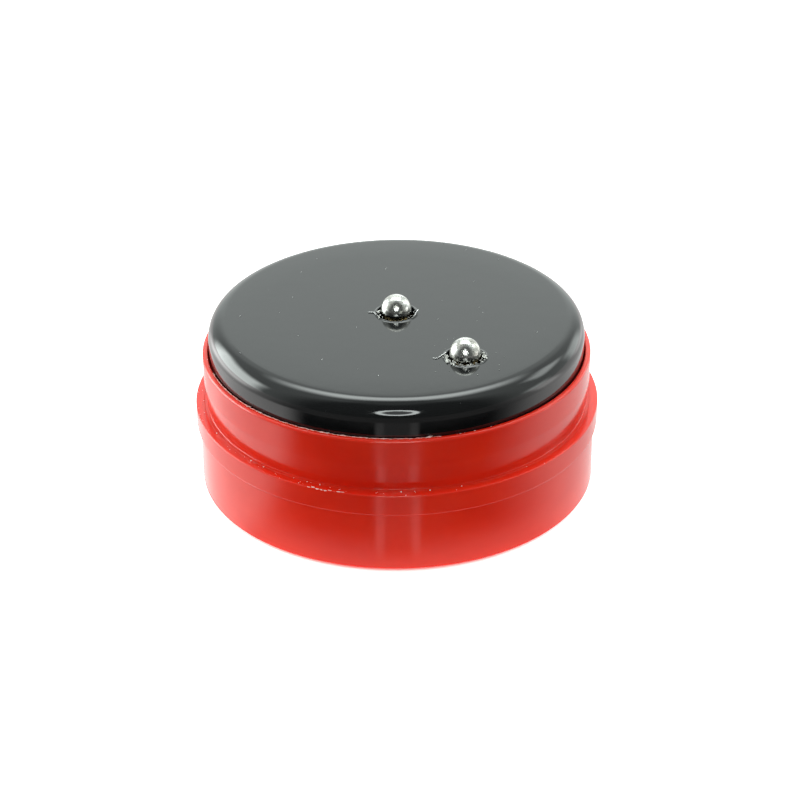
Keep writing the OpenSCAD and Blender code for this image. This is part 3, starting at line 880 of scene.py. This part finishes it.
def make_pill_and_pusher():
    pill_disc = disc("pill_disc", pill.r, pill.z0, pill.z1, 0.06)
    dress(pill_disc, CARBON, "carbon_rubber", "dome_pill", body="button")
    shoulder_z = pusher.z0 + 0.68
    outline = rounded([
        (0, pusher.z0, 0), (pusher.r, pusher.z0, 0.15), (pusher.r, shoulder_z, 0.08),
        (barrel_r - 0.02, shoulder_z, 0.03), (barrel_r - 0.02, pusher.z1, 0.1), (0.9, pusher.z1, 0.05),
        (0.9, shoulder_z, 0.08), (0, shoulder_z, 0)])
    dress(lathe("pusher_plug", outline, 128), PUSHER, "pusher_plastic", "dome_pusher", body="button")


def make_switch_contacts():
    """Two halves of interleaved gold fingers under the carbon pill."""
    low, high = board.z1, board.z1 + 0.05
    fingers = []
    for side in (-1, 1):
        ring = lathe("rail", [(2.0, low), (2.2, low), (2.2, high), (2.0, high)], 96)
        middle = 3.15 * side
        half = block("half", (middle - 3, -3, low - 1), (middle + 3, 3, high + 1))
        combine(ring, [half], "INTERSECT")
        fingers.append(ring)
        for i in range(-2, 3):
            y = 0.75 * i + (0.375 if side > 0 else 0) - 0.19
            reach = math.sqrt(2.1 ** 2 - y ** 2)
            ends = sorted((side * reach, -side * (math.sqrt(1.75 ** 2 - min(abs(y), 1.7) ** 2) - 0.1)))
            fingers.append(block("finger", (ends[0], y - 0.1, low), (ends[1], y + 0.1, high)))
    dress(join("switch_fingers", fingers), GOLD, "brass", "switch_contacts")


# ---- Board ----

def make_board():
    panel = disc("board_panel", board.r, board.z0, board.z1, 0.05, 192)
    low, high = board.z0 - 1, board.z1 + 1
    cutters = [block("notch", (14.8, -2.6, low), (20, 2.6, high), a) for a in LEG_ANGLES]
    cutters += rods("hole", 1.15, low, high, SCREW_RING, SCREW_ANGLES, 48)
    combine(panel, cutters, "DIFFERENCE")
    dress(panel, BOARD, "board", "circuit_board")


def make_tracks():
    """Masked copper on both faces of the board, and bare pads at the screws."""
    routes = (
        ((2.3, 180), (6.6, 180), (6.6, 165), (7.5, 163)), ((2.3, 0), (6.9, 0), (6.9, 20), (8.2, 22)),
        ((11.4, 150), (13, 140), (13, 100), (12, 92)), ((11.8, 166), (13.8, 172), (13.8, 200), (12.6, 202)),
        ((9.8, 14), (12.6, 6), (12.6, -10), (12, -14)), ((10.6, 18), (14, 20), (14, 60), (10, 72)),
        ((9.6, 45), (11.2, 45), (11.2, 64), (9.8, 70)), ((9.6, 99), (10.8, 99), (10.8, 124), (9.8, 126)),
        ((8.2, 200), (6.4, 205), (6.4, 262), (8, 268)), ((11.5, 240), (13.2, 245), (13.2, 272), (12, 274)),
        ((12.6, 278), (12.6, 300), (11.3, 304)), ((7.2, 245), (9, 255), (9, 300), (10.6, 306)),
        ((5.9, 84), (7.4, 76), (7.4, 30), (8.4, 26)), ((11.3, 310), (14, 318), (14, 342), (12.7, 346)))
    height = 0.015
    top = [trace("track", route, 0.28, board.z1 - 0.01, board.z1 + height) for route in routes]
    under = [trace("track", [(r, -a) for r, a in route], 0.28, board.z0 - height, board.z0 + 0.01)
             for route in routes]
    dress(join("board_tracks", top + under), TRACK, "board")
    rings = []
    for low, high in ((board.z1 - 0.01, board.z1 + height), (board.z0 - height, board.z0 + 0.01)):
        rings += [hoop("pad", 1.2, 2.0, low, high, polar(SCREW_RING, a)) for a in SCREW_ANGLES]
        for at in ((5.6, 90), (12, 75), (12, 105), (10.4, 330), (8.1, 210)):
            rings.append(rod("pad", polar(*at), 0.75, low, high, 32))
        rings.append(rod("pad", OUTER_CONTACT, 0.75, low, high, 32))
    dress(join("board_pads", rings), SOLDER, "tab_nickel")


def make_sound_chip():
    low, r, h = board.z1, 2.6, 1.0
    ball = (r * r + h * h) / (2 * h)
    top = crown(ball, ball, low + h - ball, math.acos(r / ball), 12)
    drop = lathe("resin_drop", [(0, low)] + top, 72, (-9, 3))
    wobble(drop, 0.22, 1.6, low)
    dress(drop, RESIN, "black_resin", "sound_chip")


def make_charge_chip():
    x, y = 9, 3
    low, high = part_z + 0.1, part_z + 1.0
    case = block("charge_chip_case", (x - 1.45, y - 0.8, low), (x + 1.45, y + 0.8, high), 0, 0.08)
    combine(case, [rod("dimple", (x - 1.05, y - 0.42), 0.16, high - 0.06, high + 1, 24)], "DIFFERENCE")
    dress(case, RESIN, "black_resin", "charge_chip")
    path = [(0.7, 0.45), (0.98, 0.45), (1.05, 0.4), (1.1, 0.12), (1.16, 0.07), (1.4, 0.07)]
    legs = []
    for turn in (90, -90):
        for side in (-0.95, 0, 0.95):
            leg = bent_strip("leg", path, 0.12, 0.36, turn, side)
            for vert in leg.data.vertices:
                vert.co += Vector((x, y, part_z)) * MM
            legs.append(leg)
    dress(join("charge_chip_legs", legs), SOLDER, "tab_nickel")


def make_boost_coil():
    at = (-5, -8)
    low = part_z
    core = rounded([
        (0, low, 0), (2.1, low, 0.06), (2.1, low + 0.3, 0.06), (1.55, low + 0.3, 0.05),
        (1.55, low + 0.85, 0.05), (2.1, low + 0.85, 0.06), (2.1, low + 1.15, 0.06), (0.6, low + 1.15, 0.05),
        (0.5, low + 1.08, 0), (0, low + 1.08, 0)], 4)
    dress(lathe("boost_coil_core", core, 96, at), FERRITE, "coil", "boost_coil")
    layers = [tube("winding", coil_path(at, radius, low + 0.31, low + 0.84, 5, 0.055, 48), 0.055, 8)
              for radius in (1.62, 1.73)]
    dress(join("boost_coil_winding", layers, 60), COPPER, "coil")


def make_small_chips():
    """Ceramic chips with tinned ends, standing across the radius."""
    bodies, ends = [], []
    places = [(9, a) for a in range(45, 127, 27)] + [(12, a) for a in (200, 275, 345)]
    for r, a in places:
        low, high = part_z + 0.01, part_z + 0.48
        bodies.append(block("chip", (r - 0.38, -0.6, low), (r + 0.38, 0.6, high), a, 0.04))
        for side in (-1, 1):
            y = sorted((side * 0.52, side * 0.8))
            ends.append(block("end", (r - 0.4, y[0], part_z), (r + 0.4, y[1], part_z + 0.5), a, 0.06))
    dress(join("chip_bodies", bodies), CHIP, "chip_ceramic", "chip_components")
    dress(join("chip_ends", ends), SOLDER, "tab_nickel")


# ---- Cell and sounder ----

def make_cell():
    low, high, r = cell.z0, cell.z1, cell.r
    can = rounded([
        (0, high, 0), (0, low + 0.8, 0), (9.3, low + 0.8, 0.1), (9.3, low + 0.32, 0.05),
        (9.72, low + 0.3, 0.12), (r, low + 0.7, 0.2), (r, high, 0.35)], 6)
    dress(lathe("cell_can", can, 160), CELL_STEEL, "cell_steel", "rechargeable_cell")
    lid = rounded([
        (0, low + 0.75, 0), (0, low, 0), (8.85, low, 0.2), (9.1, low + 0.4, 0.05), (9.1, low + 0.75, 0)], 5)
    dress(lathe("cell_lid", lid, 160), CELL_STEEL, "cell_steel")
    seal = hoop("cell_seal_ring", 9.11, 9.28, low + 0.26, low + 0.76)
    dress(seal, CELL_SEAL, "pusher_plastic")


def make_tabs():
    """Nickel strips welded to the cell, each with a row of weld dimples."""
    top = board.z0 - 0.02
    tabs = (("negative", LEG_ANGLES[2], negative_tab.z0 + 0.075, cell.r + 0.375),
            ("positive", LEG_ANGLES[1], cell.z1 + 0.095, cell.r - 1.925))
    for name, angle, level, riser in tabs:
        bend = [(riser - 0.2, level), (riser - 0.06, level + 0.05), (riser, level + 0.18)]
        strip = bent_strip("strip", [(-3, level)] + bend + [(riser, top)], 0.15, 4, angle)
        side = 1 if name == "positive" else -1
        face = level + side * 0.075
        dots = []
        for x in (-1.6, 0.4, 2.4):
            for y in (-0.9, 0.9):
                dot_x, dot_y = polar(math.hypot(x, y), angle + math.degrees(math.atan2(y, x)))
                outline = [(0, face - side * 0.03), (0.28, face - side * 0.03), (0.3, face + side * 0.012),
                           (0.16, face + side * 0.02), (0, face - side * 0.01)]
                dots.append(lathe("dot", outline, 24, (dot_x, dot_y)))
        piece = join(name + "_tab_strip", [strip] + dots)
        dress(piece, TAB_NICKEL, "tab_nickel", "cell_tab_" + name)


def make_tape():
    pads = []
    for side in (-4.3, 4.3):
        near, far = (-5, side - 1.75, tape.z0), (5, side + 1.75, tape.z1)
        pads.append(block("pad", near, far, LEG_ANGLES[1], 0.08))
    dress(join("tape_pads", pads), TAPE, "foam_tape", "cell_tape")


def make_sounder():
    ring = rounded([
        (9, gasket.z0, 0.05), (10, gasket.z0, 0.05), (10, gasket.z1, 0.05), (9, gasket.z1, 0.05)], 3)
    dress(lathe("gasket_ring", ring, 160), FOAM, "foam", "piezo_gasket")
    metal_disc = disc("sounder_plate", plate.r, plate.z0, plate.z1, 0.05)
    dress(metal_disc, BRASS, "brass", "piezo_plate")
    top = ceramic.z1
    ceramic_disc = disc("sounder_ceramic", ceramic.r, ceramic.z0, top, 0.05)
    dress(ceramic_disc, PIEZO, "piezo_ceramic", "piezo_ceramic")
    film = rod("sounder_silvering", (0, 0), ceramic.r - 0.5, top - 0.01, top + 0.012, 128)
    dress(film, SILVERING, "tab_nickel")
    end = board.z0 - 0.02
    on_ceramic = top + 0.22
    on_plate = plate.z1 + 0.22
    red = bezier([[5, on_ceramic], [11.5, on_ceramic - 0.12], [12.2, on_ceramic + 0.4], [12, end]], 75)
    black = bezier([[8.5, on_plate], [12, on_plate - 0.1], [12.3, on_plate + 0.5], [12, end]], 105)
    dress(tube("sounder_lead_red", red, 0.2), RED_SLEEVE, "wire_sleeve", "piezo_leads")
    dress(tube("sounder_lead_black", black, 0.2), BLACK_SLEEVE, "wire_sleeve", "piezo_leads")
    joints = []
    for at, level in ((polar(4.9, 75), top), (polar(8.4, 105), plate.z1)):
        joints.append(solder_drop(at, level, 0.55, 0.35))
    dress(join("sounder_solder", joints), SOLDER, "tab_nickel")


def solder_drop(at, level, radius, height):
    drop = lathe("drop", [(0, level)] + crown(radius, height, level), 32, at)
    return wobble(drop, 0.08, 0.7, level)


# ---- Screws and feet ----

def make_screws():
    """Self-tapping screws, head down, with a rolled thread and a cross recess."""
    core_r, crest_r, pitch, sides, rows_per_turn = 0.76, 1.0, 0.8, 40, 10
    low, high = screws.z0 + 0.9, screws.z1
    rows = int((high - low) / pitch * rows_per_turn)
    bm = bmesh.new()
    rings = []
    for i in range(rows + 1):
        z = low + (high - low) * i / rows
        taper = min(1.0, (high - z) / 1.2 + 0.25)
        ring = []
        for j in range(sides):
            phase = (z / pitch - j / sides) % 1
            ridge = max(0.0, 1 - abs(phase - 0.5) * 3)
            r = (core_r + (crest_r - core_r) * ridge) * taper
            x, y = polar(r, 360 * j / sides)
            ring.append(bm.verts.new((SCREW_RING + x, y, z)))
        rings.append(ring)
    skin(bm, rings)
    shank = finish_mesh("shank", bm)
    seat = screws.z0 + 0.98
    outline = rounded([(0, screws.z0, 0), (1.75, screws.z0, 0.35), (1.75, seat, 0.08), (0, seat, 0)])
    head = lathe("head", outline, 96, (SCREW_RING, 0))
    combine(head, [shank], "UNION")
    recess = []
    for long, wide in ((1.0, 0.2), (0.2, 1.0)):
        recess.append(block("recess", (SCREW_RING - long, -wide, screws.z0 - 1),
                            (SCREW_RING + long, wide, screws.z0 + 0.55), 0, 0.06))
    combine(head, recess, "DIFFERENCE")
    screw_set = around("screw_set", head, SCREW_ANGLES)
    dress(screw_set, SCREW_STEEL, "screw_steel", "base_screws")


def make_feet():
    outline = rounded([
        (0, feet.z0 + 0.1, 0), (1.6, feet.z0 + 0.1, 0.05), (1.75, feet.z0, 0.05), (3.0, feet.z0, 0.15),
        (3.0, feet.z1, 0), (0, feet.z1, 0)], 5)
    pads = around("rubber_feet", lathe("foot", outline, 96, (FOOT_RING, 0)), LEG_ANGLES)
    dress(pads, RUBBER, "foot_rubber", "foot_pads")


# ---- Flash and dust on the housing ----

def front(radius, degrees):
    """A place at an angle from the camera's side, positive to the right."""
    return polar(radius, degrees - 90)


def make_ledge_flash():
    """Pale flash left along the ledge, most of it at the front left."""
    rng = random.Random(5)
    spots = []
    for degrees in (-65, -46, -41, -26, -22, 1, 9, 18):
        x, y = front(bezel.r + 0.1, degrees)
        size = rng.uniform(0.1, 0.15)
        spots.append(((x, y, ledge_z + 0.02), size * 1.3, size, degrees + rng.uniform(-40, 40)))
    for i in range(9):
        degrees = -24.4 + 1.2 * i
        x, y = front(cup.r - 0.06, degrees)
        size = rng.uniform(0.12, 0.2) * (1 - 0.08 * i)
        spots.append(((x, y, ledge_z + rng.uniform(-0.08, 0.06)), 0.45, size, degrees))
    for i in range(46):
        degrees = rng.gauss(-35, 38)
        x, y = front(cup.r - rng.uniform(0.02, 0.8), degrees)
        size = rng.uniform(0.03, 0.08)
        spots.append(((x, y, ledge_z), size * rng.uniform(1, 2), size, rng.uniform(0, 180)))
    dress(chips("ledge_flash", spots, rng), RED_DUST, "housing_red")


def make_lip_flash():
    """Pale crumbs and a few slivers in the gap round the button."""
    rng = random.Random(12)
    spots = []
    for i in range(160):
        degrees = rng.gauss(-26, 22)
        x, y = front(cap.r + 0.17 + rng.uniform(0, 0.06), degrees)
        size = rng.uniform(0.03, 0.07)
        spots.append(((x, y, lip_z), size * rng.uniform(2, 5), size, degrees))
    for degrees, length in ((8.6, 0.7), (9.4, 0.5), (-48, 0.5), (-43, 0.4), (-20, 0.35)):
        x, y = front(cap.r + 0.24, degrees)
        spots.append(((x, y, lip_z + 0.08), length, 0.09, degrees + 35))
    dress(chips("lip_flash", spots, rng), RED_DUST, "housing_red")


def make_ledge_fin():
    """The thin fin of flash where the two housing parts meet on the ledge."""
    low = ledge_z - 0.02
    outline = [(bezel.r - 0.05, low), (bezel.r + 0.09, low), (bezel.r + 0.02, low + 0.038)]
    dress(lathe("ledge_fin", outline, 256), RED, "housing_red")


def make_lip_fin():
    """A pale thread of flash in the gap round the button, from the left to just past the front."""
    path = []
    for i in range(361):
        degrees = -72 + 84 * i / 360
        radius = cap.r + 0.14 + 0.02 * math.sin(i * 0.9)
        lift = 0.03 * math.sin(i * 0.37) * math.sin(i * 0.11)
        path.append((*front(radius, degrees), lip_z - 0.02 + lift))
    dress(tube("lip_fin", path, 0.04, 8), RED_THREAD, "housing_red")


make_base_cup()
make_bezel()
make_button()
make_rim("centre_mouth_rim", (0, 0), 3, 0.012)
make_rim("outer_mouth_rim", OUTER_CONTACT, 4, 0.04)
for name, at, points in WHISKERS:
    make_whisker(name, at, points)
make_mouth_chips()
make_cap_dust()
CONTACTS = (("centre", (0, 0)), ("outer", OUTER_CONTACT))
for side, at in CONTACTS:
    make_pin(side + "_contact_ball", side + "_contact_pin", side + "_contact", at)
    make_barrel(side + "_contact_sleeve", side + "_contact_barrel", at)
    make_contact_spring(side + "_contact_coil", side + "_contact_spring", at)
make_return_springs()
make_contact_leads()
make_dome()
make_pill_and_pusher()
make_switch_contacts()
make_board()
make_tracks()
make_sound_chip()
make_charge_chip()
make_boost_coil()
make_small_chips()
make_cell()
make_tabs()
make_tape()
make_sounder()
make_screws()
make_feet()
make_ledge_flash()
make_lip_flash()
make_ledge_fin()
make_lip_fin()


# ---- Stage, light and camera ----

def ease(value, low, high, to_low=0.0, to_high=1.0):
    """Moves smoothly from one level to another as the value goes from low to high."""
    return remap(value, low, high, to_low, to_high, "SMOOTHSTEP")


def window(value, low, high, soft):
    """1 between low and high, 0 outside, with edges that are soft over twice the last number."""
    rise = ease(value, low - soft, low + soft)
    fall = ease(value, high - soft, high + soft, 1.0, 0.0)
    return calc("MULTIPLY", rise, fall)


def patch(base, level, *masks):
    """Moves a brightness towards a level inside all the masks."""
    mask = masks[0]
    for other in masks[1:]:
        mask = calc("MULTIPLY", mask, other)
    return add(mask.id_data, "Mix", {0: mask, 2: base, 3: level}, data_type="FLOAT").outputs[0]


def direction(vector):
    """Azimuth from the camera's side, positive to the right, and its size, both in degrees; and z."""
    x, y, z = add(vector.id_data, "SeparateXYZ", {"Vector": vector}).outputs
    towards = calc("MULTIPLY", y, -1.0)
    azimuth = calc("MULTIPLY", calc("ARCTAN2", x, towards), math.degrees(1))
    return azimuth, calc("ABSOLUTE", azimuth), z


def make_floor():
    """White paper to the camera. Reflections see painted light on it from the sides, and painted shade in
    front, as if a dark card stood there.
    """
    bm = bmesh.new()
    bmesh.ops.create_grid(bm, x_segments=1, y_segments=1, size=3000)
    floor = finish_mesh("floor", bm)
    material, place = new_material("floor_paper", Roughness=0.9, Specular_IOR_Level=0.0)
    tree = material.node_tree
    shader = tree.nodes["Principled BSDF"]
    paper = noise(place, 0.5, 5)
    color = mix_color(paper, (0.84, 0.84, 0.835, 1), (0.86, 0.86, 0.855, 1))
    link(color, shader, "Base Color")
    link(color, shader, "Emission Color")
    azimuth, turn, _ = direction(place)
    distance = add(tree, "VectorMath", {0: place}, operation="LENGTH").outputs["Value"]
    # The paper shines to the camera, except under the foot, where its glow is dimmed to a thin line of
    # painted shadow over the paper's real shadow.
    link(ease(distance, 19.0, 19.5, 0.1, 0.9), shader, "Emission Strength")
    # Painted light for reflections: dark in front, as if a card stood there, and bright to the sides and
    # close to the foot.
    inward = calc("SUBTRACT", turn, ease(distance, 28, 54, 0.0, 16.0))
    painted_front_shade = ease(distance, 43, 48, 0.0, 0.2)
    glow = ease(inward, 32, 72, painted_front_shade, 1.15)
    at_foot = ease(turn, 40, 62, 0.8, 1.15)
    glow = patch(glow, at_foot, ease(distance, 21, 27, 1.0, 0.0))
    left_side = window(azimuth, -110, -52, 8)
    glow = patch(glow, 1.6, left_side, ease(distance, 38, 60, 1.0, 0.0))
    # Two narrow upright strips of painted light on the paper, which show in the front of the red walls,
    # with a dim fill between them.
    beam = calc("DIVIDE", azimuth, ease(distance, 16, 46, 6.3, 9.2))
    aside = calc("ABSOLUTE", beam)
    reach = window(distance, 22.5, 47, 1.5)
    glow = patch(glow, 0.26, ease(aside, 1.0, 1.25, 1.0, 0.0), reach)
    strips = window(aside, 0.68, 1.08, 0.12)
    glow = patch(glow, ease(distance, 26, 48, 1.0, 0.45), strips, reach)
    # Painted light on the paper far out to the sides, standing in for the softboxes' light: (level, from,
    # to, soft, near, far).
    for level, low, high, soft, near, far in (
            (4.8, -132, -88, 10, 38, 110), (2.5, 80, 98, 5, 42, 95), (2.2, 121, 141, 6, 60, 140)):
        glow = patch(glow, level, window(azimuth, low, high, soft), ease(distance, near, far))
    ray = add(tree, "LightPath")
    # Painted bounce light, as soft light sees the paper, strongest at the foot.
    painted_bounce = calc("ADD", ease(distance, 24, 50, 0.95, 0.3), ease(distance, 20, 26, 0.8, 0.0))
    glow = patch(glow, painted_bounce, ray.outputs["Is Diffuse Ray"])
    lit = add(tree, "Emission", {"Color": (1.0, 0.99, 0.98, 1), "Strength": glow})
    both = add(tree, "MixShader", {0: ray.outputs["Is Camera Ray"], 1: lit.outputs["Emission"],
                                   2: shader.outputs["BSDF"]})
    link(both.outputs["Shader"], tree.nodes["Material Output"], "Surface")
    floor.data.materials.append(material)


def make_world():
    """A studio of softboxes round the object. The camera itself sees plain white."""
    world = bpy.data.worlds.new("studio")
    world.use_nodes = True
    tree = world.node_tree
    tree.nodes.clear()
    place = add(tree, "TexCoord").outputs["Generated"]
    azimuth, turn, z = direction(place)
    height = calc("MULTIPLY", calc("ARCSINE", z), math.degrees(1))
    behind = ease(turn, 142, 168)

    # The room: dark in front, brighter to the sides and behind, dim overhead.
    light = ease(turn, 48, 82, 0.11, 0.82)
    light = patch(light, 1.5, behind)
    light = patch(light, 1.15, behind, ease(height, 30, 35))
    light = patch(light, 0.4, ease(height, 68, 84))
    # Softboxes high at the back, low on the left and at three places on the right.
    back_box = (ease(turn, 104, 160), window(height, 53, 74, 8))
    light = patch(light, 6.6, *back_box)
    left_box = (window(azimuth, -134, -88, 7), window(height, -20, 28, 7))
    light = patch(light, 7.4, *left_box)
    right_boxes = ((3.8, 99, 125, 27, 43), (2.9, 79, 96, -20, 7), (2.7, 121, 141, -20, 20))
    for level, near, far, low, high in right_boxes:
        box = (window(azimuth, near, far, 6), window(height, low, high, 6))
        light = patch(light, level, *box)
    # The round front light, bright at its rim, 14 degrees across and 16 up from its middle.
    across = calc("DIVIDE", azimuth, 14.0)
    up = calc("DIVIDE", calc("SUBTRACT", height, 31.0), 16.0)
    square = calc("ADD", calc("POWER", across, 2.0), calc("POWER", up, 2.0))
    ring = calc("SQRT", square)
    light = patch(light, 9.5, ease(ring, 0.92, 1.04, 1.0, 0.0))
    light = patch(light, 0.9, ease(ring, 0.55, 0.75, 1.0, 0.0))

    # Soft light is a little stronger from the right.
    ray = add(tree, "LightPath")
    share = ease(azimuth, -30, 60, 0.78, 1.32)
    light = patch(light, calc("MULTIPLY", light, share), ray.outputs["Is Diffuse Ray"])
    light = patch(light, 1.0, ray.outputs["Is Camera Ray"])
    shine = add(tree, "Background", {"Color": (0.95, 1.02, 0.995, 1), "Strength": light})
    link(shine.outputs["Background"], add(tree, "OutputWorld"), "Surface")
    bpy.context.scene.world = world


def make_lights():
    """An overhead softbox that is not seen in reflections."""
    data = bpy.data.lights.new("overhead", "AREA")
    data.shape = "DISK"
    data.size = 300 * MM
    data.energy = 0.35
    lamp = bpy.data.objects.new("overhead", data)
    lamp.location = (0, 40 * MM, 330 * MM)
    lamp.visible_glossy = False
    bpy.context.scene.collection.objects.link(lamp)


def make_camera():
    """The camera of the photograph's view, from the front and 28.6 degrees up."""
    distance = 225 * MM
    elevation = math.radians(28.55)
    target = Vector((0, 0, 10.4 * MM))
    back = Vector((0, -math.cos(elevation), math.sin(elevation)))
    data = bpy.data.cameras.new("camera")
    data.sensor_width = 36
    data.lens = 101.7
    data.shift_x = 0.0041
    data.shift_y = -0.0301
    data.clip_start = 0.01
    data.clip_end = 20
    camera = bpy.data.objects.new("camera", data)
    look = (-back).to_track_quat("-Z", "Y").to_matrix().to_4x4()
    roll = Matrix.Rotation(math.radians(-0.45), 4, "Z")
    camera.matrix_world = Matrix.Translation(target + back * distance) @ look @ roll
    bpy.context.scene.collection.objects.link(camera)
    bpy.context.scene.camera = camera


make_floor()
make_world()
make_lights()
make_camera()
bpy.context.scene.view_settings.view_transform = "Standard"
